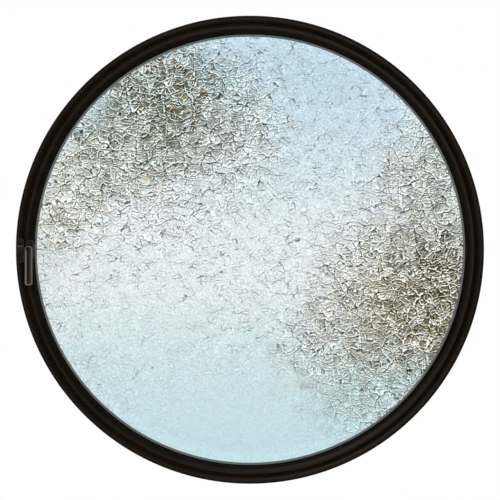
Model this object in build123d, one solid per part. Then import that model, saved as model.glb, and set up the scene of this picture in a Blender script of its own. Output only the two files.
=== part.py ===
from build123d import *
import os

# A round casement window, hung at the side and opening outwards, seen from the room on its -Y side.
# The window's axis is Y, its hinges stand on the +X side and Z is up. Lengths are in millimetres.

# Gaps
seat_gap = 0.1           # between pieces that are pushed together
running_gap = 0.05       # round a pin or screw in its hole
turn_gap = 0.2           # between flat faces that turn on each other
catch_gap = 0.3          # between the handle's nose and its keeper
swing_gap = 3.0          # round the sash inside the frame

# Outer frame, a metal section rolled to a ring
frame_radius = 750.0     # to the rim that lies in the wall
frame_depth = 70.0       # along Y
frame_web = 14.0         # radial thickness beside the sash
frame_face = 23.0        # from the rim to the edge of the stop lip
frame_lip = 14.0         # depth of the stop lip that the sash closes against
frame_face_fall = 4.0    # how far the face slopes back towards the sash
frame_edge = 6.0         # width of the bevel at the rim
frame_edge_depth = 6.0

# Seal on the back of the stop lip
seal_space = 5.0         # between the lip and the sash
seal_slack = 0.5         # left open so that the seal is drawn unpressed
seal_width = 6.0

# Sash, the ring that carries the glass
sash_tube = 24.0         # radial thickness beside the glass
sash_reveal = 5.0        # groove between the lip and the sash face
sash_face = 24.0         # radial width of the face seen from the room
sash_face_fall = 4.5     # how far the face slopes back towards the glass
sash_edge = 3.5          # width of the bevel at the groove
sash_edge_depth = 3.5
sash_proud = 0.5         # how far the sash stands in front of the frame
sash_bevel = 5.0         # radial width of the bevel next to the glass
sash_leg = 20.5          # depth of the leg in front of the glass

# Sealed double glazing with its gaskets, blocks and bead
pane_thickness = 5.0
gasket = 4.0             # thickness of each gasket along Y
cavity_share = 0.4375    # of the depth left by panes and gaskets; the bead has the rest
gasket_lip = 6.5         # how far the room-side gasket shows past the sash
gasket_edge = 1.5        # how much its edge slopes in to the glass
glass_edge_gap = 5.0     # between the glass and the sash, filled by blocks
spacer_width = 12.0
bead_inset = 1.0         # how far the bead's inner edge stays behind the sash's
bead_edge = 4.0          # depth of the bead's edge beside the glass
block_side_gap = 3.0     # from the faces of the glazing to a block's sides
setting_length = 100.0   # of the blocks below, which carry the glass
setting_angles = (225.0, 315.0)
location_length = 60.0   # of the blocks above, which keep it in the middle
location_angles = (45.0, 135.0)

# Two lift-off hinges on the outer face, each half with a foot on its own ring
hinge_height = 100.0     # from the window's middle to each hinge
hinge_inset = 5.0        # from the sash's rim in to the hinge axis
barrel_radius = 7.5
barrel_height = 30.0     # of each half
barrel_lift = 3.5        # between the barrel and the face under it
pin_radius = 4.0
foot_reach = 16.0        # from the axis to the far side of a foot
foot_step = 3.0          # height of a foot's far side
foot_margin = 1.0        # from a foot to the edge of the face it stands on

# Keeper on the frame, with a wedge that the handle's nose draws on to
keeper_width = 24.0
keeper_height = 77.0
keeper_thickness = 5.0
keeper_seat = 1.0        # how far its back lies behind the crest of the frame
keeper_rim_inset = 3.0   # from the frame's rim
keeper_drop = 2.5        # of its middle below the handle's axis
wedge_width = 17.5
wedge_height = 27.0
wedge_edge = 1.5         # bevel round its front
screw_rise = 28.5        # from the keeper's middle to each screw
screw_radius = 2.5
screw_length = 14.0

# Cam handle on the sash
handle_inset = 10.0      # from the sash's inner edge out to the handle's axis
base_width = 22.5
base_height = 62.0
base_thickness = 9.0     # in front of the sash
spindle_radius = 5.0
spindle_bury = 14.0      # length of the spindle inside the lever
nose_lift = 2.5          # from the base to the back of the nose
nose_thickness = 6.0
nose_width = 11.0
nose_reach = 33.0        # from the axis to the middle of the nose's round tip
neck_radius = 8.0
lever_standoff = 29.0    # from the base to the back of the lever
lever_top = 11.0         # above the axis
lever_length = 124.0
lever_width = 23.5
lever_thickness = 11.0
lever_corner = 5.0       # cut off each corner of its outline
lever_bevel = 5.5        # width of the bevel round its front
lever_bevel_depth = 4.0
lever_back_bevel = 2.0

# Places along Y, from the room side to the outside
room_y = -frame_depth / 2
outside_y = frame_depth / 2
lip_back_y = room_y + frame_lip
land_y = lip_back_y + seal_space
crest_y = room_y - sash_proud
leg_back_y = crest_y + sash_leg
inner_pane_y = leg_back_y + gasket
spacer_y = inner_pane_y + pane_thickness
spare_depth = outside_y - leg_back_y - 2 * (pane_thickness + gasket)
outer_pane_y = spacer_y + cavity_share * spare_depth
outer_gasket_y = outer_pane_y + pane_thickness
bead_y = outer_gasket_y + gasket

# Radii, from the rim to the glass
lip_radius = frame_radius - frame_face
rebate_radius = frame_radius - frame_web
sash_radius = rebate_radius - swing_gap
face_radius = lip_radius - sash_reveal
face_inner_radius = face_radius - sash_face
sash_inner_radius = face_inner_radius - sash_bevel
glazing_radius = sash_radius - sash_tube
glass_radius = glazing_radius - glass_edge_gap
gasket_radius = sash_inner_radius - gasket_lip
bead_radius = sash_inner_radius + bead_inset


def ring(*points):
    # A section of points (radius, depth along Y), turned about the window's axis
    return revolve(make_face(Polyline(*points, close=True)), Axis.Y)


def band(inner, outer, room, outside):
    return ring((inner, room), (outer, room), (outer, outside), (inner, outside))


def prism(outline, x, z, back, front):
    # An outline in the window's plane, as tall as from back to front along Y
    return extrude(Plane.XZ.offset(-back) * Pos(x, z) * outline, back - front)


def rod(radius, x, z, back, front):
    return prism(Circle(radius), x, z, back, front)


def stadium(width, height):
    return Rot(0, 0, 90) * SlotOverall(height, width)


def outer_frame():
    return ring(
        (lip_radius, room_y + frame_face_fall),
        (frame_radius - frame_edge, room_y),
        (frame_radius, room_y + frame_edge_depth),
        (frame_radius, outside_y),
        (rebate_radius, outside_y),
        (rebate_radius, lip_back_y),
        (lip_radius, lip_back_y),
    )


def frame_seal():
    # A three-cornered lip that points at the sash
    return ring(
        (lip_radius, lip_back_y),
        (lip_radius + seal_width, lip_back_y),
        (lip_radius + seal_width / 2, land_y - seal_slack),
    )


def sash_ring():
    return ring(
        (face_inner_radius, crest_y + sash_face_fall),
        (face_radius - sash_edge, crest_y),
        (face_radius, crest_y + sash_edge_depth),
        (face_radius, land_y),
        (sash_radius, land_y),
        (sash_radius, outside_y),
        (glazing_radius, outside_y),
        (glazing_radius, leg_back_y),
        (sash_inner_radius, leg_back_y),
    )


def pane(room):
    return rod(glass_radius, 0, 0, room + pane_thickness, room)


def inner_gasket():
    return ring(
        (glass_radius, leg_back_y),
        (gasket_radius + gasket_edge, leg_back_y),
        (gasket_radius, inner_pane_y),
        (glass_radius, inner_pane_y),
    )


def glazing_bead():
    outer = glazing_radius - seat_gap
    return ring(
        (outer, bead_y),
        (outer, outside_y),
        (bead_radius, bead_y + bead_edge),
        (bead_radius, bead_y),
    )


def glazing_blocks(length, angles):
    # Plastic blocks between the glass and the sash, each bent to the same curve
    hoop = band(
        glass_radius + seat_gap,
        glazing_radius - seat_gap,
        inner_pane_y + block_side_gap,
        outer_gasket_y - block_side_gap,
    )
    span = Box(2 * sash_tube, frame_depth, length)
    return [hoop & Rot(0, -angle, 0) * Pos(glazing_radius, 0, 0) * span for angle in angles]


# Hinge axis, and the heights at which the sash half of each hinge starts
hinge_x = sash_radius - hinge_inset
hinge_y = outside_y + barrel_lift + barrel_radius
hinge_middles = (hinge_height, -hinge_height)


def barrel_half(low, side, inner, outer):
    # A hinge half on the frame's ring (side 1) or the sash's ring (side -1), which lie between two radii
    profile = Polyline(
        (hinge_x - side * barrel_radius, outside_y),
        (hinge_x + side * foot_reach, outside_y),
        (hinge_x + side * foot_reach, outside_y + foot_step),
        (hinge_x + side * barrel_radius, hinge_y),
        (hinge_x, hinge_y),
        close=True,
    )
    level = Plane.XY.offset(low)
    face = band(inner + foot_margin, outer - foot_margin, outside_y, hinge_y)
    foot = face & extrude(level * make_face(profile), barrel_height)
    barrel = extrude(level * Pos(hinge_x, hinge_y) * Circle(barrel_radius), barrel_height)
    hole = extrude(level * Pos(hinge_x, hinge_y) * Circle(pin_radius + running_gap), barrel_height)
    return foot + barrel - hole


def hinge_pin(low):
    level = Plane.XY.offset(low)
    return extrude(level * Pos(hinge_x, hinge_y) * Circle(pin_radius), 2 * barrel_height + turn_gap)


# Places of the handle and its keeper
handle_x = -(sash_inner_radius + handle_inset)
base_front_y = crest_y - base_thickness
base_back_y = crest_y + sash_face_fall
nose_back_y = base_front_y - nose_lift
nose_front_y = nose_back_y - nose_thickness
lever_back_y = base_front_y - lever_standoff
lever_front_y = lever_back_y - lever_thickness
spindle_front_y = base_front_y - spindle_bury
keeper_x = -(frame_radius - keeper_rim_inset - keeper_width / 2)
keeper_back_y = room_y + keeper_seat
keeper_front_y = keeper_back_y - keeper_thickness
wedge_front_y = nose_back_y + catch_gap
screw_heights = (-keeper_drop - screw_rise, -keeper_drop + screw_rise)


def set_on(shape, ring_under):
    # Shape the back of a piece to the sloping ring that it is pushed on to
    return shape - Pos(0, -seat_gap, 0) * ring_under


def keeper_screws(gap):
    back = keeper_front_y + screw_length + gap
    return [rod(screw_radius + gap, keeper_x, z, back, keeper_front_y) for z in screw_heights]


def keeper():
    outline = stadium(keeper_width, keeper_height)
    plate = prism(outline, keeper_x, -keeper_drop, keeper_back_y, keeper_front_y)
    return set_on(plate, outer_frame()) - keeper_screws(running_gap)


def keeper_wedge():
    outline = Rectangle(wedge_width, wedge_height)
    wedge = prism(outline, keeper_x, 0, keeper_front_y, wedge_front_y)
    return chamfer(wedge.faces().sort_by(Axis.Y)[0].edges(), wedge_edge)


def handle_base():
    base = prism(stadium(base_width, base_height), handle_x, 0, base_back_y, base_front_y)
    bore = rod(spindle_radius + running_gap, handle_x, 0, base_back_y, base_front_y)
    return set_on(base, sash_ring()) - bore


def lever():
    outline = chamfer(Rectangle(lever_width, lever_length).vertices(), lever_corner)
    bar = prism(outline, handle_x, lever_top - lever_length / 2, lever_back_y, lever_front_y)
    front = bar.faces().sort_by(Axis.Y)[0]
    bar = chamfer(front.edges(), lever_bevel, lever_bevel_depth, reference=front)
    bar = chamfer(bar.faces().sort_by(Axis.Y)[-1].edges(), lever_back_bevel)
    neck = rod(neck_radius, handle_x, 0, base_front_y - turn_gap, lever_back_y - lever_back_bevel)
    nose = prism(
        SlotCenterToCenter(nose_reach, nose_width),
        handle_x - nose_reach / 2,
        0,
        nose_back_y,
        nose_front_y,
    )
    hole = rod(spindle_radius + running_gap, handle_x, 0, base_front_y, spindle_front_y - running_gap)
    return bar + neck + nose - hole


def spindle():
    return rod(spindle_radius, handle_x, 0, crest_y, spindle_front_y)


frame_lows = [middle - barrel_height - turn_gap for middle in hinge_middles]
nodes = {
    "outer_frame": outer_frame() - keeper_screws(running_gap),
    "frame_seal": frame_seal(),
    "keeper": keeper(),
    "keeper_wedge": keeper_wedge(),
    "keeper_screws": keeper_screws(0),
    "hinge_frame_barrels": [barrel_half(low, 1, rebate_radius, frame_radius) for low in frame_lows],
    "hinge_pins": [hinge_pin(low) for low in frame_lows],
    "sash_ring": sash_ring(),
    "glazing_bead": glazing_bead(),
    "inner_pane": pane(inner_pane_y),
    "outer_pane": pane(outer_pane_y),
    "edge_spacer": band(glass_radius - spacer_width, glass_radius, spacer_y, outer_pane_y),
    "inner_gasket": inner_gasket(),
    "outer_gasket": band(bead_radius, glass_radius, outer_gasket_y, bead_y),
    "setting_blocks": glazing_blocks(setting_length, setting_angles),
    "location_blocks": glazing_blocks(location_length, location_angles),
    "hinge_sash_barrels": [barrel_half(low, -1, glazing_radius, sash_radius) for low in hinge_middles],
    "handle_base": handle_base(),
    "lever": lever(),
    "spindle": spindle(),
}

os.makedirs("parts", exist_ok=True)
for name, shape in nodes.items():
    solids = shape if isinstance(shape, list) else [shape]
    export_step(Compound(children=solids), f"parts/{name}.step")
    print(name, len(solids))
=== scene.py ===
import math

import bmesh
import bpy
import numpy as np
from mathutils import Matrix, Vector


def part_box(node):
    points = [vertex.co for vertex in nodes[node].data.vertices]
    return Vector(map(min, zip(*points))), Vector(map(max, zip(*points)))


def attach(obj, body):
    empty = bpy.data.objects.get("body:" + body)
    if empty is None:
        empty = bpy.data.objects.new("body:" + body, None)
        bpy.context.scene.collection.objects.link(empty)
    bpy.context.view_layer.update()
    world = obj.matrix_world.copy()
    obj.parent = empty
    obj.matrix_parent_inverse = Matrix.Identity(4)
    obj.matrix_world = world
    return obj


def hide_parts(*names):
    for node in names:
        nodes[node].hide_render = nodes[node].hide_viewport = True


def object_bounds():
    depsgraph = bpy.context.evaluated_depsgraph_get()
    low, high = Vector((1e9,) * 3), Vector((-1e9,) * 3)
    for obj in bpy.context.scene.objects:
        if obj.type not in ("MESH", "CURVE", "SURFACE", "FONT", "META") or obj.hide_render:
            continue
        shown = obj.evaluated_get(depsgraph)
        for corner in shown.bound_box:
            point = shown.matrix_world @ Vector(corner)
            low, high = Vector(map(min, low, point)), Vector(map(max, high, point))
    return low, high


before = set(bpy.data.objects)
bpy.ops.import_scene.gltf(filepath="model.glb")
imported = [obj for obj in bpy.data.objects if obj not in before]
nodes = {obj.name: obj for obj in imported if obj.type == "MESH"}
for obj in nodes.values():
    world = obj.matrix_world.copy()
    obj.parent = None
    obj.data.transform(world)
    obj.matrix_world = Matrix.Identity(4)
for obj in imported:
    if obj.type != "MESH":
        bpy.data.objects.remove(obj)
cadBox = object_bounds()
mm = 0.001
print("frame loaded:", len(nodes), "CAD nodes")


def linearColour(hexColour):  # sRGB hex to linear light, by the constants of the sRGB curve
    parts = [int(hexColour[i:i + 2], 16) / 255 for i in (1, 3, 5)]
    return tuple(p / 12.92 if p <= 0.04045 else ((p + 0.055) / 1.055) ** 2.4 for p in parts) + (1.0,)


def shadedColour(hexColour, factor):  # the same colour, darker or lighter
    return tuple(min(c * factor, 1) for c in linearColour(hexColour)[:3]) + (1.0,)


def addNode(tree, kind, inputs=(), out=0, **settings):
    # Inputs go by place or by name; gives one of the outputs, or the node itself where out is None
    node = tree.nodes.new(kind)
    for key, value in settings.items():
        setattr(node, key, value)
    placed = inputs if isinstance(inputs, dict) else dict(enumerate(inputs))
    for key, value in placed.items():
        if isinstance(value, bpy.types.NodeSocket):
            tree.links.new(value, node.inputs[key])
        else:
            node.inputs[key].default_value = value
    return node if out is None else node.outputs[out]


colourMix = {"out": 2, "data_type": "RGBA"}  # a Mix node for colours: 0 is the share, 6 and 7 the colours


def newMaterial(name, **values):  # a material with one Principled shader
    material = bpy.data.materials.new(name)
    material.use_nodes = True
    shader = material.node_tree.nodes["Principled BSDF"]
    for key, value in values.items():
        shader.inputs[key].default_value = value
    return material, material.node_tree, shader


def linkShader(tree, shader, links):  # what nodes have made, into the shader's sockets
    for key, value in links.items():
        tree.links.new(value, shader.inputs[key])


# Materials

powderCoat = {
    "dark": "#080502", "light": "#120b05",    # two browns that the coat drifts between
    "drift": 45, "driftTurn": (0.35, 0.65),   # mm, width of a drift, and where in its noise it turns
    "shine": "#fff0dc",                       # warm tint of its reflections
    "specular": 0.032,                        # low, because the white surroundings would turn the paint grey
    "roughness": (0.22, 0.33),
    "peel": 4,  # mm, orange peel, drawn coarser than the real 1 mm so that it shows
    "peelDepth": 0.4, "peelStrength": 0.06,   # mm
}


def powderCoatedSteel(name, look):
    # Baked powder paint on steel: nearly black brown, satin, with a soft orange peel in its shine
    material, tree, shader = newMaterial(name, **{
        "Specular IOR Level": look["specular"], "Specular Tint": linearColour(look["shine"])})
    place = addNode(tree, "ShaderNodeTexCoord", out="Object")
    drift = addNode(tree, "ShaderNodeTexNoise", {
        "Vector": place, "Scale": 1 / (look["drift"] * mm), "Detail": 3.0})
    tint = addNode(tree, "ShaderNodeMapRange", (drift, *look["driftTurn"]))
    if "paintedSheen" in look:  # painted sheen: near black to brown from one X to another, as reflected light
        across = addNode(tree, "ShaderNodeSeparateXYZ", (place,), out="X")
        paintedSheen = addNode(tree, "ShaderNodeMapRange", (across, *(x * mm for x in look["paintedSheen"])))
        patchy = addNode(tree, "ShaderNodeMapRange", {0: tint, 3: look["paintedSheenLeast"], 4: 1.0})
        tint = addNode(tree, "ShaderNodeMath", (patchy, paintedSheen), operation="MULTIPLY")
    colour = addNode(tree, "ShaderNodeMix", {
        0: tint, 6: linearColour(look["dark"]), 7: linearColour(look["light"])}, **colourMix)
    if "paintedHighlight" in look:  # painted highlight: paler on every edge that slopes away from the front
        normal = addNode(tree, "ShaderNodeTexCoord", out="Normal")
        forward = addNode(tree, "ShaderNodeSeparateXYZ", (normal,), out="Y")
        facing = addNode(tree, "ShaderNodeMath", (forward,), operation="ABSOLUTE")
        offFront = addNode(tree, "ShaderNodeMapRange", (facing, *look["frontTurn"]))
        offSide = addNode(tree, "ShaderNodeMapRange", (facing, *look["sideTurn"], 0.0, look["paintedHighlightShare"]))
        paintedHighlight = addNode(tree, "ShaderNodeMath", (offFront, offSide), operation="MULTIPLY")
        colour = addNode(tree, "ShaderNodeMix", {
            0: paintedHighlight, 6: colour, 7: linearColour(look["paintedHighlight"])}, **colourMix)
    if "paintedShadeInside" in look:  # painted shade darkens the edge beside the glass, within this radius
        flat = addNode(tree, "ShaderNodeVectorMath", (place, (1, 0, 1)), operation="MULTIPLY")
        radius = addNode(tree, "ShaderNodeVectorMath", (flat,), out="Value", operation="LENGTH")
        fadeFrom = look["paintedShadeInside"] - look["paintedShadeFade"]
        painted = addNode(tree, "ShaderNodeMapRange", (
            radius, fadeFrom * mm, look["paintedShadeInside"] * mm, look["paintedShadeShare"]))
        colour = addNode(tree, "ShaderNodeVectorMath", {0: colour, "Scale": painted}, operation="SCALE")
    peel = addNode(tree, "ShaderNodeTexNoise", {
        "Vector": place, "Scale": 1 / (look["peel"] * mm), "Detail": 2.0})
    bump = addNode(tree, "ShaderNodeBump", {
        "Strength": look["peelStrength"], "Distance": look["peelDepth"] * mm, "Height": peel})
    rough = addNode(tree, "ShaderNodeMapRange", {0: drift, 3: look["roughness"][0], 4: look["roughness"][1]})
    linkShader(tree, shader, {"Base Color": colour, "Roughness": rough, "Normal": bump})
    return material


# Bronze paint on cast zinc: as dark as the frame, with a painted highlight making its sloping edges paler
handleCoat = {
    **powderCoat, "dark": "#080503", "light": "#100b07", "shine": "#fff4ea",
    "drift": 14, "peel": 2.5, "roughness": (0.25, 0.36), "specular": 0.04,
    "paintedHighlight": "#5e564d", "paintedHighlightShare": 0.6,
    # How squarely a face looks to the front where the painted highlight starts and where it is full, from
    # either end
    "frontTurn": (0.98, 0.9), "sideTurn": (0.25, 0.5),
}
# The lever: a painted sheen across its grip and a stronger painted highlight on its edges
leverCoat = {
    **handleCoat, "dark": "#070504", "light": "#3a2c23", "specular": 0.05,
    "paintedHighlight": "#6e685f", "paintedHighlightShare": 0.95,
    "paintedSheen": (-702, -698), "paintedSheenLeast": 0.5,  # mm across the grip where the painted sheen rises, and its least share of brown
}

rubberLook = {
    "seal": {"colour": "#0b0b0b", "roughness": 0.6}, "grey": {"colour": "#5d5f5d", "roughness": 0.55},
    "foam": {"colour": "#1a1a1a", "roughness": 0.75}, "block": {"colour": "#2b2b2b", "roughness": 0.5},
    "specular": 0.25, "roughSpread": 0.08,
    "clouds": 60, "cloudShades": (0.75, 1.3),   # clouds in a metre, and how dark and light they are
    "grain": 1.5,                               # mm, moulding grain, drawn coarser than the real 0.3 mm
    "grainDepth": 0.2, "grainStrength": 0.15,   # mm
}


def mouldedRubber(name, kind):
    # Extruded rubber, silicone foam or moulded polyamide: no gloss, slightly cloudy where talc stays on it
    look = rubberLook
    material, tree, shader = newMaterial(name, **{"Specular IOR Level": look["specular"]})
    place = addNode(tree, "ShaderNodeTexCoord", out="Object")
    cloud = addNode(tree, "ShaderNodeTexNoise", {"Vector": place, "Scale": look["clouds"], "Detail": 4.0})
    dark, light = (shadedColour(kind["colour"], shade) for shade in look["cloudShades"])
    colour = addNode(tree, "ShaderNodeMix", {0: cloud, 6: dark, 7: light}, **colourMix)
    grain = addNode(tree, "ShaderNodeTexNoise", {"Vector": place, "Scale": 1 / (look["grain"] * mm)})
    bump = addNode(tree, "ShaderNodeBump", {
        "Strength": look["grainStrength"], "Distance": look["grainDepth"] * mm, "Height": grain})
    rough = addNode(tree, "ShaderNodeMapRange", {
        0: cloud, 3: kind["roughness"] - look["roughSpread"], 4: kind["roughness"] + look["roughSpread"]})
    linkShader(tree, shader, {"Base Color": colour, "Roughness": rough, "Normal": bump})
    return material


steelLook = {
    "colour": "#26221e", "shade": 0.7, "roughness": (0.37, 0.55),
    "turning": 0.8,  # mm, size of the marks, drawn coarser than real lathe marks so that they show
}


def turnedSteel(name, look):
    # Turned and blacked steel: bare metal shine broken by fine lathe marks
    material, tree, shader = newMaterial(name, Metallic=1.0)
    place = addNode(tree, "ShaderNodeTexCoord", out="Object")
    marks = addNode(tree, "ShaderNodeTexNoise", {
        "Vector": place, "Scale": 1 / (look["turning"] * mm), "Detail": 1.0})
    dark, light = shadedColour(look["colour"], look["shade"]), linearColour(look["colour"])
    colour = addNode(tree, "ShaderNodeMix", {0: marks, 6: dark, 7: light}, **colourMix)
    rough = addNode(tree, "ShaderNodeMapRange", {0: marks, 3: look["roughness"][0], 4: look["roughness"][1]})
    linkShader(tree, shader, {"Base Color": colour, "Roughness": rough})
    return material


clearLook = {
    "tint": "#f3f9f7", "ior": 1.52, "roughness": 0.01,
    "waves": 180, "waveDepth": 0.5, "waveStrength": 0.05,  # mm, faint draw lines of float glass
}


def floatGlass(name, look):
    # Float glass: clear, faintly green, with very long shallow waves
    tint = linearColour(look["tint"])
    material, tree, shader = newMaterial(name, **{
        "Base Color": tint, "Transmission Weight": 1.0, "IOR": look["ior"], "Roughness": look["roughness"]})
    place = addNode(tree, "ShaderNodeTexCoord", out="Object")
    waves = addNode(tree, "ShaderNodeTexNoise", {"Vector": place, "Scale": 1 / (look["waves"] * mm)})
    bump = addNode(tree, "ShaderNodeBump", {
        "Strength": look["waveStrength"], "Distance": look["waveDepth"] * mm, "Height": waves})
    linkShader(tree, shader, {"Normal": bump})
    path = addNode(tree, "ShaderNodeLightPath", out=None)  # lamps shine through on to the inner pane
    lit = addNode(tree, "ShaderNodeMath", (
        path.outputs["Is Shadow Ray"], path.outputs["Is Diffuse Ray"]), operation="MAXIMUM")
    through = addNode(tree, "ShaderNodeBsdfTransparent", {"Color": tint})
    mixed = addNode(tree, "ShaderNodeMixShader", (lit, shader.outputs[0], through))
    tree.links.new(mixed, tree.nodes["Material Output"].inputs["Surface"])
    return material


crackleLook = {
    # Raised borders of polygons: mm across a polygon and a border, strength in pale and in stirred glass,
    # and the side that they are lit from, as mm to each of the two heights that are compared
    "nets": [
        {"cell": 46, "width": 2.8, "pale": 2.5, "stirred": 3.0, "lit": (-0.5, 0.9)},
        {"cell": 20, "width": 2.3, "pale": 1.8, "stirred": 3.2, "lit": (0.6, 0.8)},
        {"cell": 11, "width": 2.0, "pale": 0.9, "stirred": 2.7, "lit": (-0.4, 0.9)},
    ],
    "stretch": 1.5,                     # the polygons are this much wider than high
    "bend": 23, "bendSize": 42,         # mm, how far and how broadly the borders are bent
    "darkFrom": 0.3, "darkFull": 0.85,  # in pale glass only a border's dark side shows, from this slope on
    "crinkle": 26, "crinkleLines": 3.5, "crinkleShare": 0.45,  # mm, fine height lines inside the polygons
    "dash": 38, "dashTurn": (0.49, 0.61),  # mm, length over which a border comes and goes in pale glass
    "fringe": 0.3, "gather": 1.5,       # how soon borders close up near a field, and gather in its middle
    # How strong the pale borders are, by the stir of the glass: from, to, and the strength at each
    "paleRise": (0.1, 0.4, 0.95, 1.3), "paleFall": (0.5, 1.0, 1.0, 0.2),
    "mottle": 7, "mottleTone": 0.26,    # mm, and the power of e, of a faint unevenness between the borders
    "mottleTurn": (0.3, 0.7), "mottleFade": 0.5,  # under 1 it fades later than the borders where it is calm
    "facet": 27, "throw": 85,           # mm, size of a facet, and how far it shifts what is seen through it
    "facetLightAndShade": 0.8,                   # the power of e of the painted light and shade that makes facets lighter or darker
    "fill": 1.6,                        # over 1 keeps a field's edge pale, so borders there are dark lines
    "fieldCore": 0.15,                  # share of a field that has its full strength
    "earth": 40, "earthTurn": (0.48, 0.7, 0.0, 0.65), "tan": "#8f7440",  # mm, tan patches in the fields
    "glint": 0.8, "glintTurn": (0.5, 1.5),  # share of sky in a light side, and from which force on
    "lift": 0.55,                       # the power of e by which a light side is lighter
    "whitest": "#f6f8f9",               # no part of the glass is lighter
    "still": 0.1,                       # stir that is left where no field is
    "rimTurn": (630, 684), "rimLight": 0.14,  # mm, and the power of e by which the pane's edge is lighter
    "ior": 1.52, "specular": 0.15, "roughness": (0.4, 0.6),
    "reliefDepth": 0.4, "reliefStrength": 0.2,  # mm
    # Sky seen through it: metres above the window's middle, colour
    "sky": [(-0.60, "#c0dbe2"), (-0.36, "#c9dde2"), (-0.12, "#dee6e9"), (0.03, "#dde6e9"), (0.52, "#bdd5e2")],
}

# Soft fields of outdoor colour: middle, half widths (mm from the window's middle), colour, depth
outdoorFields = [
    {"middle": (-340, 130), "half": (440, 190), "colour": "#e2e9e8", "depth": 0.4},
    {"middle": (-60, 400), "half": (260, 340), "colour": "#b6bcb2", "depth": 0.65},
    {"middle": (-380, 320), "half": (420, 290), "colour": "#97997f", "depth": 0.8},
    {"middle": (-270, 480), "half": (370, 320), "colour": "#696b4b", "depth": 1.0},
    {"middle": (-610, 150), "half": (230, 260), "colour": "#c0be9b", "depth": 0.73},
    {"middle": (590, 220), "half": (290, 310), "colour": "#9ea28e", "depth": 0.7},
    {"middle": (310, -310), "half": (330, 280), "colour": "#a7a490", "depth": 0.62},
    {"middle": (430, -120), "half": (340, 370), "colour": "#a4a184", "depth": 0.72},
    {"middle": (560, -250), "half": (340, 300), "colour": "#6e5a1e", "depth": 0.95},
    {"middle": (640, -60), "half": (325, 300), "colour": "#5c5726", "depth": 0.95},
    {"middle": (400, -470), "half": (380, 270), "colour": "#93acab", "depth": 0.52},
]

# Where the borders grow faint, in the same measures
calmFields = [
    {"middle": (-80, -600), "half": (760, 430), "depth": 0.88},
    {"middle": (-330, -290), "half": (430, 270), "depth": 0.5},
    {"middle": (290, 560), "half": (340, 330), "depth": 0.2},
]


def fieldStrength(tree, flat, field):  # the field's depth in the middle of a soft ellipse, 0 outside it
    middle = tuple(part * mm for part in field["middle"]) + (0,)
    narrowing = tuple(1 / (part * mm) for part in field["half"]) + (0,)
    offset = addNode(tree, "ShaderNodeVectorMath", (flat, middle), operation="SUBTRACT")
    scaled = addNode(tree, "ShaderNodeVectorMath", (offset, narrowing), operation="MULTIPLY")
    away = addNode(tree, "ShaderNodeVectorMath", (scaled,), out="Value", operation="LENGTH")
    return addNode(tree, "ShaderNodeMapRange", (
        away, crackleLook["fieldCore"], 1.0, field["depth"], 0.0), interpolation_type="SMOOTHSTEP")


def crackleBorders(tree, bent, look):  # their tone in stirred and in pale glass, and their relief
    # The height of a border a little to one side less that to the other: one side is light and one dark
    narrowing = (1 / look["stretch"], 1, 0)
    squeezed = addNode(tree, "ShaderNodeVectorMath", (bent, narrowing), operation="MULTIPLY")
    stirred, pale, relief = 0.0, 0.0, 0.0
    for net in look["nets"]:
        heights = []
        for sign in (1, -1):
            aside = tuple(-sign * part * mm for part in net["lit"]) + (0,)
            at = addNode(tree, "ShaderNodeVectorMath", (squeezed, aside), operation="ADD")
            gap = addNode(tree, "ShaderNodeTexVoronoi", {"Vector": at, "Scale": 1 / (net["cell"] * mm)},
                          out="Distance", voronoi_dimensions="2D", feature="DISTANCE_TO_EDGE")
            heights.append(addNode(tree, "ShaderNodeMapRange", (
                gap, 0.0, net["width"] / net["cell"], 1.0, 0.0)))
        slope = addNode(tree, "ShaderNodeMath", heights, operation="SUBTRACT")
        relief = addNode(tree, "ShaderNodeMath", (heights[0], relief), operation="ADD")
        stirred = addNode(tree, "ShaderNodeMath", (slope, net["stirred"], stirred), operation="MULTIPLY_ADD")
        dark = addNode(tree, "ShaderNodeMapRange", (slope, -look["darkFull"], -look["darkFrom"], -1.0, 0.0))
        pale = addNode(tree, "ShaderNodeMath", (dark, net["pale"], pale), operation="MULTIPLY_ADD")
    ripple = addNode(tree, "ShaderNodeTexNoise", {
        "Vector": bent, "Scale": 1 / (look["crinkle"] * mm), "Detail": 2.0}, noise_dimensions="2D")
    turns = 2 * math.pi * look["crinkleLines"]
    phase = addNode(tree, "ShaderNodeMath", (ripple, turns), operation="MULTIPLY")
    wave = addNode(tree, "ShaderNodeMath", (phase,), operation="SINE")
    stirred = addNode(tree, "ShaderNodeMath", (wave, look["crinkleShare"], stirred), operation="MULTIPLY_ADD")
    return stirred, pale, relief


def outdoorView(tree, source, look):  # sky with fields, the sky alone, and how stirred the glass looks
    height = addNode(tree, "ShaderNodeSeparateXYZ", (source,), out="Y")
    colour = linearColour(look["sky"][0][1])
    for (low, _), (high, skyHex) in zip(look["sky"], look["sky"][1:]):
        share = addNode(tree, "ShaderNodeMapRange", (height, low, high))
        colour = addNode(tree, "ShaderNodeMix", {0: share, 6: colour, 7: linearColour(skyHex)}, **colourMix)
    sky, stir = colour, look["still"]
    for field in outdoorFields:
        strength = fieldStrength(tree, source, field)
        fill = addNode(tree, "ShaderNodeMath", (strength, look["fill"]), operation="POWER")
        colour = addNode(tree, "ShaderNodeMix", {
            0: fill, 6: colour, 7: linearColour(field["colour"])}, **colourMix)
        stir = addNode(tree, "ShaderNodeMath", (strength, stir), operation="MAXIMUM")
    earth = addNode(tree, "ShaderNodeTexNoise", {
        "Vector": source, "Scale": 1 / (look["earth"] * mm), "Detail": 2.0})
    patches = addNode(tree, "ShaderNodeMapRange", (earth, *look["earthTurn"]))
    warm = addNode(tree, "ShaderNodeMath", (patches, stir), operation="MULTIPLY")
    colour = addNode(tree, "ShaderNodeMix", {0: warm, 6: colour, 7: linearColour(look["tan"])}, **colourMix)
    return colour, sky, stir


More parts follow.
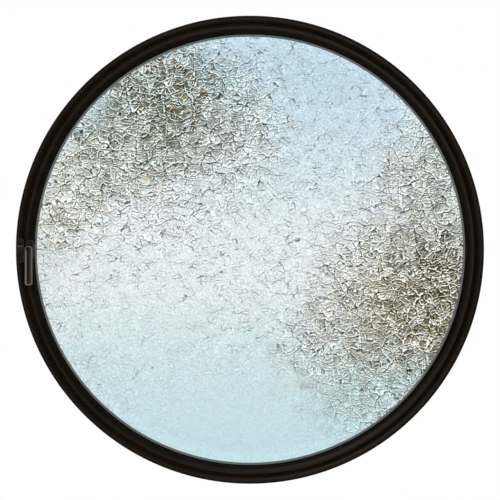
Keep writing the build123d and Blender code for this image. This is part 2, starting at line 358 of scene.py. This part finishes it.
def crackleGlass(name, look):
    # Crackled obscured glass: its borders and facets break sky and leaves into light and dark flecks
    material, tree, shader = newMaterial(name, **{"IOR": look["ior"], "Specular IOR Level": look["specular"]})
    noiseMiddle = (0.5, 0.5, 0.5)
    place = addNode(tree, "ShaderNodeTexCoord", out="Object")
    parts = addNode(tree, "ShaderNodeSeparateXYZ", (place,), out=None)
    flat = addNode(tree, "ShaderNodeCombineXYZ", (parts.outputs["X"], parts.outputs["Z"]))
    warp = addNode(tree, "ShaderNodeTexNoise", {
        "Vector": flat, "Scale": 1 / (look["bendSize"] * mm), "Detail": 3.0}, out="Color")
    shift = addNode(tree, "ShaderNodeVectorMath", (warp, noiseMiddle), operation="SUBTRACT")
    bendSpan = (2 * look["bend"] * mm, 2 * look["bend"] * mm, 0)  # to both sides
    bent = addNode(tree, "ShaderNodeVectorMath", (shift, bendSpan, flat), operation="MULTIPLY_ADD")
    tone, paleLines, relief = crackleBorders(tree, bent, look)

    # Painted light and shade: each facet is lighter or darker at random, as a tilted facet would be lit, and
    # shifts what is seen through it
    facet = addNode(tree, "ShaderNodeTexVoronoi", {"Vector": bent, "Scale": 1 / (look["facet"] * mm)},
                    out="Color", voronoi_dimensions="2D")
    facetDraw = addNode(tree, "ShaderNodeSeparateXYZ", (facet,), out="Z")
    shade = addNode(tree, "ShaderNodeMapRange", {0: facetDraw, 3: -look["facetLightAndShade"], 4: look["facetLightAndShade"]})
    tone = addNode(tree, "ShaderNodeMath", (tone, shade), operation="ADD")
    centred = addNode(tree, "ShaderNodeVectorMath", (facet, noiseMiddle), operation="SUBTRACT")
    throw = (look["throw"] * mm, look["throw"] * mm, 0)
    source = addNode(tree, "ShaderNodeVectorMath", (centred, throw, bent), operation="MULTIPLY_ADD")
    colour, sky, stir = outdoorView(tree, source, look)

    # All borders where the fields are, broken ones where it is pale, hardly any where it is calm
    calm = 0.0
    for field in calmFields:
        calm = addNode(tree, "ShaderNodeMath", (fieldStrength(tree, bent, field), calm), operation="MAXIMUM")
    lively = addNode(tree, "ShaderNodeMath", (1.0, calm), operation="SUBTRACT")
    breaks = addNode(tree, "ShaderNodeTexNoise", {
        "Vector": flat, "Scale": 1 / (look["dash"] * mm), "Detail": 3.0})
    whole = addNode(tree, "ShaderNodeMath", (stir, look["fringe"], breaks), operation="MULTIPLY_ADD")
    kept = addNode(tree, "ShaderNodeMapRange", (whole, *look["dashTurn"]))
    shown = addNode(tree, "ShaderNodeMath", (kept, lively), operation="MULTIPLY")
    broken = addNode(tree, "ShaderNodeMath", (paleLines, shown), operation="MULTIPLY")
    rise = addNode(tree, "ShaderNodeMapRange", (stir, *look["paleRise"]))
    fall = addNode(tree, "ShaderNodeMapRange", (stir, *look["paleFall"]))
    pale = addNode(tree, "ShaderNodeMath", (rise, fall), operation="MULTIPLY")
    gathered = addNode(tree, "ShaderNodeMath", (stir, look["gather"]), operation="POWER")
    stirred = addNode(tree, "ShaderNodeMath", (tone, gathered), operation="MULTIPLY")
    power = addNode(tree, "ShaderNodeMath", (broken, pale, stirred), operation="MULTIPLY_ADD")
    grain = addNode(tree, "ShaderNodeTexNoise", {"Vector": bent, "Scale": 1 / (look["mottle"] * mm)})
    mottle = addNode(tree, "ShaderNodeMapRange", (
        grain, *look["mottleTurn"], -look["mottleTone"], look["mottleTone"]))
    fading = addNode(tree, "ShaderNodeMath", (lively, look["mottleFade"]), operation="POWER")
    uneven = addNode(tree, "ShaderNodeMath", (mottle, fading), operation="MULTIPLY")
    force = addNode(tree, "ShaderNodeMath", (power, lively, uneven), operation="MULTIPLY_ADD")

    # Light sides take in sky, and the force is a power of e that lightens or darkens
    glint = addNode(tree, "ShaderNodeMapRange", (force, *look["glintTurn"], 0.0, look["glint"]))
    colour = addNode(tree, "ShaderNodeMix", {0: glint, 6: colour, 7: sky}, **colourMix)
    radius = addNode(tree, "ShaderNodeVectorMath", (flat,), out="Value", operation="LENGTH")
    rimFrom, rimTo = (part * mm for part in look["rimTurn"])
    edgeLight = addNode(tree, "ShaderNodeMapRange", (
        radius, rimFrom, rimTo, 0.0, look["rimLight"]), interpolation_type="SMOOTHSTEP")
    capped = addNode(tree, "ShaderNodeMath", (force, look["lift"]), operation="MINIMUM")
    lifted = addNode(tree, "ShaderNodeMath", (capped, edgeLight), operation="ADD")
    factor = addNode(tree, "ShaderNodeMath", (math.e, lifted), operation="POWER")
    shaded = addNode(tree, "ShaderNodeVectorMath", {0: colour, "Scale": factor}, operation="SCALE")
    whitest = linearColour(look["whitest"])[:3]
    colour = addNode(tree, "ShaderNodeVectorMath", (shaded, whitest), operation="MINIMUM")

    bump = addNode(tree, "ShaderNodeBump", {
        "Strength": look["reliefStrength"], "Distance": look["reliefDepth"] * mm, "Height": relief})
    rough = addNode(tree, "ShaderNodeMapRange", {0: breaks, 3: look["roughness"][0], 4: look["roughness"][1]})
    linkShader(tree, shader, {"Base Color": colour, "Roughness": rough, "Normal": bump})
    return material


framePaint = powderCoatedSteel("powderCoatedSteel", powderCoat)
handlePaint = powderCoatedSteel("bronzePaintedZinc", handleCoat)
leverPaint = powderCoatedSteel("paintedSheenBronzePaint", leverCoat)
blackRubber = mouldedRubber("blackSealRubber", rubberLook["seal"])
greyRubber = mouldedRubber("greyGlazingRubber", rubberLook["grey"])
spacerFoam = mouldedRubber("siliconeFoam", rubberLook["foam"])
blockPlastic = mouldedRubber("polyamideBlock", rubberLook["block"])
pinSteel = turnedSteel("turnedSteel", steelLook)
clearGlass = floatGlass("floatGlass", clearLook)
paneGlass = crackleGlass("crackleGlass", crackleLook)
print("materials made")


# Pieces

def makePiece(name, bm, material, body, slot, *replaced):  # rides on a body and stands for CAD nodes
    bmesh.ops.recalc_face_normals(bm, faces=bm.faces)
    mesh = bpy.data.meshes.new(name)
    bm.to_mesh(mesh)
    bm.free()
    mesh.materials.append(material)
    mesh.polygons.foreach_set("use_smooth", [True] * len(mesh.polygons))
    piece = bpy.data.objects.new(name, mesh)
    bpy.context.collection.objects.link(piece)
    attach(piece, body)
    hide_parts(*replaced)
    print("piece", name, len(mesh.polygons), "faces")
    return piece


def evenNormals(piece):  # keeps broad faces flat beside their rounded edges
    keep = piece.modifiers.new("evenNormals", "WEIGHTED_NORMAL")
    keep.keep_sharp = True


def reach(node):  # a node's lowest and highest corner in mm
    low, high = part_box(node)
    return low / mm, high / mm


# Rings, as sections of (radius, depth) in mm

ringLook = {
    "turns": 384,                           # steps round the window
    "rounding": 1.0,                        # mm, how far an edge's curve reaches along its sides
    "cornerPoints": 5, "cornerShare": 0.4,  # points on that curve, and the most of a side that it takes
    "swell": 0.7, "swellPoints": 5,         # mm, how far the broad faces bulge
}


def roundedSection(corners, rounding):  # a closed section with a small curve at each corner
    points = []
    for i, corner in enumerate(corners):
        here = np.array(corner, float)
        ends = []
        for other in (corners[i - 1], corners[(i + 1) % len(corners)]):
            way = np.array(other, float) - here
            ends.append(here + way * min(rounding / np.linalg.norm(way), ringLook["cornerShare"]))
        for t in np.linspace(0, 1, ringLook["cornerPoints"]):
            points.append((1 - t) ** 2 * ends[0] + 2 * t * (1 - t) * here + t ** 2 * ends[1])
    return points


def swelledLine(start, end):  # points between two corners, bulging towards the room
    inner = []
    for t in np.linspace(0, 1, ringLook["swellPoints"] + 2)[1:-1]:
        bulge = 4 * ringLook["swell"] * t * (1 - t)
        inner.append((start[0] + (end[0] - start[0]) * t, start[1] + (end[1] - start[1]) * t - bulge))
    return inner


def turnedForm(section, turns):  # a section turned about the window's axis
    bm = bmesh.new()
    rows = []
    for k in range(turns):
        angle = 2 * math.pi * k / turns
        across, up = math.cos(angle) * mm, math.sin(angle) * mm
        rows.append([bm.verts.new((r * across, y * mm, r * up)) for r, y in section])
    count = len(section)
    for k in range(turns):
        here, following = rows[k], rows[(k + 1) % turns]
        for i in range(count):
            j = (i + 1) % count
            bm.faces.new((here[i], here[j], following[j], following[i]))
    return bm


def makeRing(name, section, rounding, material, body, slot, replaced):
    form = turnedForm(roundedSection(section, rounding), ringLook["turns"])
    evenNormals(makePiece(name, form, material, body, slot, replaced))


# mm: width of the face and of the wall behind it, depth of the stop lip, how far the face falls back, bevel
frameRing = {"face": 23, "web": 14, "lip": 14, "fall": 4, "bevel": 6}
low, high = reach("outer_frame")
rim = high.z
roomY, outsideY = low.y, high.y
lipEdge = (rim - frameRing["face"], roomY + frameRing["fall"])
crest = (rim - frameRing["bevel"], roomY)
webInner = rim - frameRing["web"]
lipBackY = roomY + frameRing["lip"]
frameSection = [
    lipEdge, *swelledLine(lipEdge, crest), crest, (rim, roomY + frameRing["bevel"]),
    (rim, outsideY), (webInner, outsideY), (webInner, lipBackY), (lipEdge[0], lipBackY),
]
makeRing("outerFrame", frameSection, ringLook["rounding"], framePaint, "frame", "frame_paint", "outer_frame")

sashRing = {  # mm
    "inset": 28, "face": 24, "bevel": 3.5, "fall": 4.5,  # from the rim to the face, its width, bevel and fall
    "slope": 7.4,                                        # width of the bevel by the glass, in painted shade
    "tube": 24, "leg": 20.5, "land": 19.5,               # the section behind the face
    "paintedShadeOver": 0.3, "paintedShadeFade": 0.6,                  # how far the painted shade laps on to the face, and fades
    "paintedShadeShare": 0.04,                                  # share of the paint's colour that is left in it
}
low, high = reach("sash_ring")
sashRim, sashCrestY = high.z, low.y
faceEdge = rim - sashRing["inset"]
faceInner = (faceEdge - sashRing["face"], sashCrestY + sashRing["fall"])
sashCrest = (faceEdge - sashRing["bevel"], sashCrestY)
sashInner = faceInner[0] - sashRing["slope"]
glazingEdge = sashRim - sashRing["tube"]
legBackY = sashCrestY + sashRing["leg"]
landY = sashCrestY + sashRing["land"]
sashSection = [
    faceInner, *swelledLine(faceInner, sashCrest), sashCrest, (faceEdge, sashCrestY + sashRing["bevel"]),
    (faceEdge, landY), (sashRim, landY), (sashRim, outsideY), (glazingEdge, outsideY),
    (glazingEdge, legBackY), (sashInner, legBackY),
]
# The sash's paint, with painted shade that blackens its bevel beside the glass
sashPaint = powderCoatedSteel("powderCoatedSash", {
    **powderCoat, "paintedShadeInside": faceInner[0] + sashRing["paintedShadeOver"],
    "paintedShadeFade": sashRing["paintedShadeFade"], "paintedShadeShare": sashRing["paintedShadeShare"]})
makeRing("sashRing", sashSection, ringLook["rounding"], sashPaint, "sash", "frame_paint", "sash_ring")

beadRing = {"width": 15, "edge": 4, "rounding": 1.5}  # mm, edge: depth of the bead beside the glass
low, high = reach("glazing_bead")
beadInner = high.z - beadRing["width"]
beadSection = [
    (high.z, low.y), (high.z, high.y), (beadInner, low.y + beadRing["edge"]), (beadInner, low.y)]
makeRing("glazingBead", beadSection, beadRing["rounding"], framePaint, "sash", "frame_paint", "glazing_bead")

gasketRing = {"lip": 6.5, "edge": 1.5, "rounding": 0.8}  # mm, lip: width seen beside the sash
low, high = reach("inner_gasket")
gasketInner = sashInner - gasketRing["lip"]
gasketSection = [
    (high.z, low.y), (gasketInner + gasketRing["edge"], low.y), (gasketInner, high.y), (high.z, high.y)]
makeRing(
    "innerGasket", gasketSection, gasketRing["rounding"], greyRubber, "sash", "grey_rubber", "inner_gasket")


# The crackled pane: a disc of rings of points, with tilted facets and raised creases in its room face

paneRelief = {
    "step": 5, "cell": 34,          # mm between points, and between facets
    "tilt": 0.45, "crease": 0.5, "creaseWidth": 9,  # mm
    "fade": 14,                     # mm, over which the relief dies out towards the gasket
    "spread": 760, "margin": 6,     # mm to each side, and cells beyond, in which facets are drawn
    "sectors": 6,                   # each ring of points has this many more than the one inside it
    "seed": 7,
    "edgeFacing": 0.5,              # faces that look less than this to front or back belong to the cut edge
}


def crackleHeights(x, z, look):  # mm at each point, from the nearest facet's tilt and the creases
    pick = np.random.default_rng(look["seed"])
    side = int(2 * look["spread"] / look["cell"]) + look["margin"]
    jitter = pick.random((side, side, 2))
    tilts = pick.normal(0, 1, (side, side, 2))
    u, v = x / look["cell"] + side / 2, z / look["cell"] + side / 2
    nearest = np.full(x.shape, np.inf)
    second = np.full(x.shape, np.inf)
    height = np.zeros(x.shape)
    for di in (-1, 0, 1):
        for dj in (-1, 0, 1):
            i, j = np.floor(u).astype(int) + di, np.floor(v).astype(int) + dj
            du, dv = u - i - jitter[i, j, 0], v - j - jitter[i, j, 1]
            gap = np.hypot(du, dv)
            closer = gap < nearest
            second = np.where(closer, nearest, np.minimum(second, gap))
            height = np.where(closer, du * tilts[i, j, 0] + dv * tilts[i, j, 1], height)
            nearest = np.where(closer, gap, nearest)
    inside = np.clip((second - nearest) * look["cell"] / look["creaseWidth"], 0, 1)
    return inside * height * look["tilt"] - (1 - inside) * look["crease"]


def crackledPane(node, look):
    low, high = reach(node)
    rings = int(round(high.z / look["step"]))
    sectors = look["sectors"]
    points = [(0.0, 0.0)]
    for k in range(1, rings + 1):
        angles = np.arange(sectors * k) * 2 * math.pi / (sectors * k)
        radius = high.z * k / rings
        points += list(zip(radius * np.cos(angles), radius * np.sin(angles)))
    points = np.array(points)
    fade = np.clip((gasketInner - np.hypot(points[:, 0], points[:, 1])) / look["fade"], 0, 1)
    relief = crackleHeights(points[:, 0], points[:, 1], look) * fade
    bm = bmesh.new()
    front = [bm.verts.new((px * mm, (low.y + h) * mm, pz * mm)) for (px, pz), h in zip(points, relief)]
    first = [0] + [1 + sectors * k * (k - 1) // 2 for k in range(1, rings + 1)]  # each ring's first point
    for k in range(rings):
        inner = max(sectors * k, 1)
        outer = sectors * (k + 1)
        for sector in range(sectors):
            for j in range(k + 1):
                a = first[k + 1] + (sector * (k + 1) + j) % outer
                b = first[k + 1] + (sector * (k + 1) + j + 1) % outer
                c = first[k] + (sector * k + j) % inner
                bm.faces.new((front[a], front[b], front[c]))
                if j < k:
                    d = first[k] + (sector * k + j + 1) % inner
                    bm.faces.new((front[c], front[b], front[d]))
    rimPoints = front[first[rings]:]
    back = [bm.verts.new((v.co.x, high.y * mm, v.co.z)) for v in rimPoints]
    for j in range(len(back)):
        k = (j + 1) % len(back)
        bm.faces.new((rimPoints[j], rimPoints[k], back[k], back[j]))
    bm.faces.new(back)
    return bm


paneForm = crackledPane("inner_pane", paneRelief)
pane = makePiece("cracklePane", paneForm, paneGlass, "sash", "crackle_glass", "inner_pane")
for face in pane.data.polygons:  # the cut edge and the back, one face of many corners, stay flat
    if abs(face.normal.y) < paneRelief["edgeFacing"] or len(face.vertices) > 4:
        face.use_smooth = False


# Handle and keeper, as stacked outlines

castLook = {
    "arcPoints": 18, "edgeSteps": 5,            # points on a round end, and levels on a rounded front edge
    "bevelSegments": 2, "bevelAngle": 20,       # degrees, edges sharper than this are softened
}


def addForm(bm, levels):  # closed form through outlines [(points (x, z), y)], all with as many points
    loops = [[bm.verts.new((x * mm, y * mm, z * mm)) for x, z in outline] for outline, y in levels]
    for below, above in zip(loops, loops[1:]):
        for i in range(len(below)):
            k = (i + 1) % len(below)
            bm.faces.new((below[i], below[k], above[k], above[i]))
    bm.faces.new(loops[0])
    bm.faces.new(loops[-1])


def pillOutline(middle, width, height, inset=0):  # straight sides and round ends
    radius = width / 2 - inset
    straight = height / 2 - width / 2
    points = []
    for sign in (1, -1):
        for t in np.linspace(0, math.pi, castLook["arcPoints"]):
            points.append((middle[0] + sign * radius * math.cos(t),
                           middle[1] + sign * (straight + radius * math.sin(t))))
    return points


def cutOutline(middle, width, height, corner, inset=0):  # a rectangle with its corners cut off
    across, along = width / 2 - inset, height / 2 - inset
    cut = corner - inset * (2 - math.sqrt(2))
    return [(middle[0] + x, middle[1] + z) for x, z in (
        (-across, cut - along), (cut - across, -along), (across - cut, -along), (across, cut - along),
        (across, along - cut), (across - cut, along), (cut - across, along), (-across, along - cut))]


def softEdges(piece, width):  # the small radius that casting leaves on every edge
    bevel = piece.modifiers.new("castEdge", "BEVEL")
    bevel.width = width * mm
    bevel.segments = castLook["bevelSegments"]
    bevel.limit_method = "ANGLE"
    bevel.angle_limit = math.radians(castLook["bevelAngle"])
    evenNormals(piece)


def pillPlate(name, node, middle, edge, body):  # a plate with round ends, its front edge rounded by arcs
    low, high = reach(node)
    width, height = high.x - low.x, high.z - low.z
    levels = [(pillOutline(middle, width, height), high.y)]
    for t in np.linspace(0, math.pi / 2, castLook["edgeSteps"]):
        inset, depth = edge * (1 - math.cos(t)), edge * (1 - math.sin(t))
        levels.append((pillOutline(middle, width, height, inset), low.y + depth))
    bm = bmesh.new()
    addForm(bm, levels)
    evenNormals(makePiece(name, bm, handlePaint, body, "handle_paint", node))


handleBase = {"edge": 2.2}  # mm, radius of its front edge
low, high = reach("handle_base")
handleX = (low.x + high.x) / 2
baseFrontY = low.y
pillPlate("handleBase", "handle_base", (handleX, 0), handleBase["edge"], "sash")

lever = {  # mm
    "width": 23.5, "thickness": 11, "corner": 5, "bevelDepth": 4, "backBevel": 2, "castEdge": 0.5,
    "leftBevel": 5.5, "rightBevel": 2.8, "endBevel": 4,     # widths of the bevels round the front
    "topLeftCut": (11, 15), "lowLeftCut": 1.5, "rightCut": 2.5,  # off the front's corners
    "neck": 8, "neckFlare": 1.6, "flareRise": 6, "neckSink": 1,  # radius, and its flare into the grip
    "nose": 11, "noseLift": 2.5, "noseThickness": 6,
}
low, high = reach("lever")
leverMiddle = (handleX, (low.z + high.z) / 2)
leverBackY = low.y + lever["thickness"]


def leverOutline(inset):
    return cutOutline(leverMiddle, lever["width"], high.z - low.z, lever["corner"], inset)


frontLeft = handleX - lever["width"] / 2 + lever["leftBevel"]
frontRight = handleX + lever["width"] / 2 - lever["rightBevel"]
frontBottom, frontTop = low.z + lever["endBevel"], high.z - lever["endBevel"]
leverFront = [
    (frontLeft, frontBottom + lever["lowLeftCut"]), (frontLeft + lever["lowLeftCut"], frontBottom),
    (frontRight - lever["rightCut"], frontBottom), (frontRight, frontBottom + lever["rightCut"]),
    (frontRight, frontTop - lever["rightCut"]), (frontRight - lever["rightCut"], frontTop),
    (frontLeft + lever["topLeftCut"][0], frontTop), (frontLeft, frontTop - lever["topLeftCut"][1]),
]
bm = bmesh.new()
addForm(bm, [
    (leverOutline(lever["backBevel"]), leverBackY),
    (leverOutline(0), leverBackY - lever["backBevel"]),
    (leverOutline(0), low.y + lever["bevelDepth"]),
    (leverFront, low.y),
])
neckLevels = [
    (lever["neck"], high.y), (lever["neck"], leverBackY + lever["flareRise"]),
    (lever["neck"] + lever["neckFlare"], leverBackY - lever["neckSink"])]
addForm(bm, [(pillOutline((handleX, 0), 2 * r, 2 * r), y) for r, y in neckLevels])
noseBackY = baseFrontY - lever["noseLift"]
noseFar = low.x + lever["nose"] / 2
noseLength = handleX - noseFar + lever["nose"]
noseUpright = pillOutline((0, 0), lever["nose"], noseLength)
noseOutline = [(z + (noseFar + handleX) / 2, x) for x, z in noseUpright]  # laid on its side
addForm(bm, [(noseOutline, noseBackY), (noseOutline, noseBackY - lever["noseThickness"])])
softEdges(makePiece("lever", bm, leverPaint, "handle", "handle_paint", "lever"), lever["castEdge"])

keeper = {  # mm
    "edge": 1.8, "castEdge": 0.4,           # of the plate's front edge, and of the wedge's edges
    "wedgeCorner": 0.8, "wedgeEdge": 0.8,   # cut off its corners, and bevel round its front
    "wedgeTop": 4.5, "wedgeDepth": 3.6,     # height of the slope at the top, and depth of all its slopes
    "screwHead": 3.9, "screwProfile": [(0, -0.5), (0, 0.4), (0.9, 1.0), (2.2, 1.3)],  # radius; inset, rise
}
low, high = reach("keeper")
keeperX, keeperFrontY = (low.x + high.x) / 2, low.y
pillPlate("keeperPlate", "keeper", (keeperX, (low.z + high.z) / 2), keeper["edge"], "frame")

low, high = reach("keeper_wedge")
wedgeMiddle = ((low.x + high.x) / 2, (low.z + high.z) / 2)
wedgeBox = (wedgeMiddle, high.x - low.x, high.z - low.z, keeper["wedgeCorner"])
wedgeSide = cutOutline(*wedgeBox)
wedgeFront = [  # a broad lit slope at the top, where the nose rides up
    (x, z - keeper["wedgeTop"] if z > wedgeMiddle[1] else z)
    for x, z in cutOutline(*wedgeBox, keeper["wedgeEdge"])]
bm = bmesh.new()
addForm(bm, [(wedgeSide, high.y), (wedgeSide, low.y + keeper["wedgeDepth"]), (wedgeFront, low.y)])
wedge = makePiece("keeperWedge", bm, handlePaint, "frame", "handle_paint", "keeper_wedge")
softEdges(wedge, keeper["castEdge"])

low, high = reach("keeper_screws")
screwReach = (high.x - low.x) / 2
headWidth = 2 * keeper["screwHead"]
bm = bmesh.new()
for screwZ in (low.z + screwReach, high.z - screwReach):
    addForm(bm, [
        (pillOutline((keeperX, screwZ), headWidth, headWidth, inset), keeperFrontY - rise)
        for inset, rise in keeper["screwProfile"]])
evenNormals(makePiece("keeperScrews", bm, pinSteel, "frame", "dark_steel", "keeper_screws"))

for node, material in {
    "frame_seal": blackRubber, "outer_gasket": blackRubber, "edge_spacer": spacerFoam,
    "setting_blocks": blockPlastic, "location_blocks": blockPlastic, "outer_pane": clearGlass,
    "hinge_frame_barrels": framePaint, "hinge_sash_barrels": framePaint,
    "hinge_pins": pinSteel, "spindle": pinSteel,
}.items():
    nodes[node].material_slots[0].material = material
print("handle, keeper and carried-over nodes dressed")


# Stage

stage = {
    "floor": "#f1f1ef", "floorRoughness": 0.9,
    "floorDrop": 0.28, "floorSize": 40,         # metres under the window, and across
    "whiteFrom": 0.9, "whiteTo": 1.9,           # metres from the window over which the floor fades to white
    "whiteShare": 0.8,                          # share of white under the window
    "worldStrength": 0.38,                      # light from all round; the world itself is seen as white
    "cameraBack": 6.1,                          # metres
    "framePx": 500, "focalPx": 1895.3,          # the picture's width and focal length in pixels
    "shift": (0.0002, -0.0009),                 # metres, the window isn't quite in the middle
}
white = linearColour("#ffffff")


def raySeen(tree):  # 1 for what is seen directly, in a reflection or through glass, 0 for light on the object
    path = addNode(tree, "ShaderNodeLightPath", out=None)
    seen = path.outputs["Is Camera Ray"]
    for ray in ("Is Glossy Ray", "Is Transmission Ray"):
        seen = addNode(tree, "ShaderNodeMath", (seen, path.outputs[ray]), operation="MAXIMUM")
    return seen


world = bpy.data.worlds.new("studio")
bpy.context.scene.world = world
world.use_nodes = True
tree = world.node_tree
tree.nodes.clear()
strength = addNode(tree, "ShaderNodeMapRange", {0: raySeen(tree), 3: stage["worldStrength"], 4: 1.0})
background = addNode(tree, "ShaderNodeBackground", {"Color": white, "Strength": strength})
addNode(tree, "ShaderNodeOutputWorld", {"Surface": background}, out=None)

# A pale painted floor that takes soft shadows near the window and is plain white farther off
floorMaterial, tree, floorShader = newMaterial("paleFloor", **{
    "Base Color": linearColour(stage["floor"]), "Roughness": stage["floorRoughness"]})
glow = addNode(tree, "ShaderNodeEmission", {"Color": white, "Strength": 1.0})
floorPlace = addNode(tree, "ShaderNodeTexCoord", out="Object")
away = addNode(tree, "ShaderNodeVectorMath", (floorPlace,), out="Value", operation="LENGTH")
bare = addNode(tree, "ShaderNodeMapRange", (
    away, stage["whiteFrom"], stage["whiteTo"], stage["whiteShare"], 1.0))
share = addNode(tree, "ShaderNodeMath", (raySeen(tree), bare), operation="MULTIPLY")
mixed = addNode(tree, "ShaderNodeMixShader", (share, floorShader.outputs[0], glow))
tree.links.new(mixed, tree.nodes["Material Output"].inputs["Surface"])
floorHeight = cadBox[0].z - stage["floorDrop"]
bpy.ops.mesh.primitive_plane_add(size=stage["floorSize"], location=(0, 0, floorHeight))
floor = bpy.context.object
floor.name = "floor"
floor.data.materials.append(floorMaterial)

lamps = [  # metres and watts
    {"name": "frontHigh", "at": (-0.6, -6.6, 1.5), "size": (0.8, 1.2), "power": 118},
    {"name": "frontLow", "at": (-0.3, -6.6, -0.65), "size": (0.8, 0.6), "power": 78},
    {"name": "leftStrip", "at": (-3.8, -0.9, 0.1), "size": (0.35, 1.8), "power": 22},
    {"name": "topStrip", "at": (-0.5, -0.75, 3.2), "size": (1.8, 0.35), "power": 11},
    {"name": "rightLamp", "at": (3.0, -1.85, -0.75), "size": (0.5, 0.5), "power": 12},
    {"name": "backLamp", "at": (1.0, 4.0, 3.7), "size": (2.6, 2.2), "power": 150},
]
for lamp in lamps:
    light = bpy.data.lights.new(lamp["name"], "AREA")
    light.shape = "RECTANGLE"
    light.size, light.size_y = lamp["size"]
    light.energy = lamp["power"]
    holder = bpy.data.objects.new(lamp["name"], light)
    bpy.context.collection.objects.link(holder)
    holder.location = lamp["at"]
    aim = (-holder.location).to_track_quat("-Z", "Y")  # at the window's middle
    holder.rotation_euler = aim.to_euler()

camera = bpy.data.objects.new("camera", bpy.data.cameras.new("camera"))
bpy.context.collection.objects.link(camera)
camera.location = (stage["shift"][0], -stage["cameraBack"], stage["shift"][1])
camera.rotation_euler = (math.pi / 2, 0, 0)
camera.data.angle = 2 * math.atan(stage["framePx"] / 2 / stage["focalPx"])
bpy.context.scene.camera = camera
bpy.context.scene.view_settings.view_transform = "Standard"
print("stage set")
